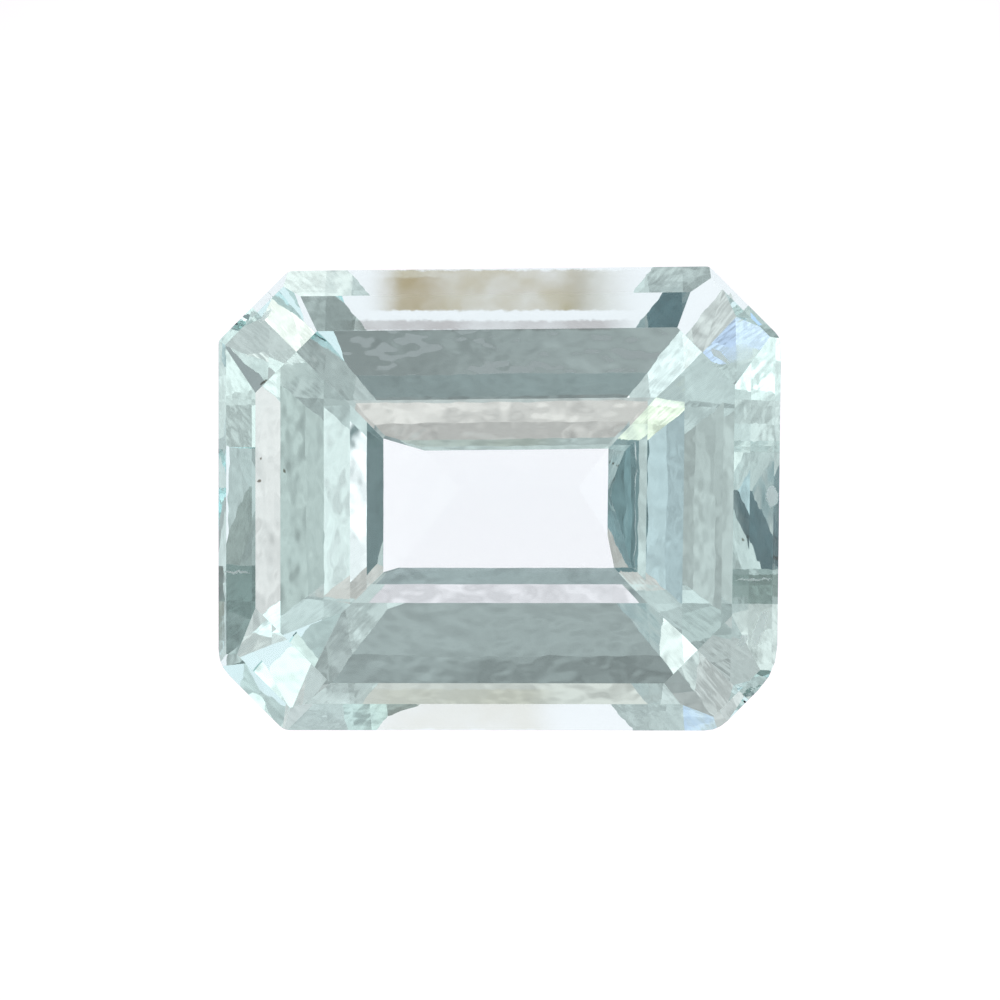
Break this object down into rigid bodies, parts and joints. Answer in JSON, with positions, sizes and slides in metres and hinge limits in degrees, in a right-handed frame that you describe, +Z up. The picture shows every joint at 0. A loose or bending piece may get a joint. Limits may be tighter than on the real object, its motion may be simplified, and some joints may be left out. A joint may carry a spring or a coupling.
{
  "type": "faceted topaz gemstone",
  "caption": "Loose pale blue topaz in an octagonal step cut with a broad flat table, lying face up on a pavilion facet.",
  "frame": {"origin": "middle of the stone's bounding box at the surface it lies on", "axes": "+X along the stone's length, +Z up; the table faces up and leans a little towards -Y"},
  "size_m": [0.012, 0.0098, 0.0062],
  "materials": {
    "topaz": "polished transparent crystal, refractive index about 1.62, very pale greenish blue"
  },
  "bodies": {
    "root": {"topaz": "topaz"}
  },
  "joints": []
}
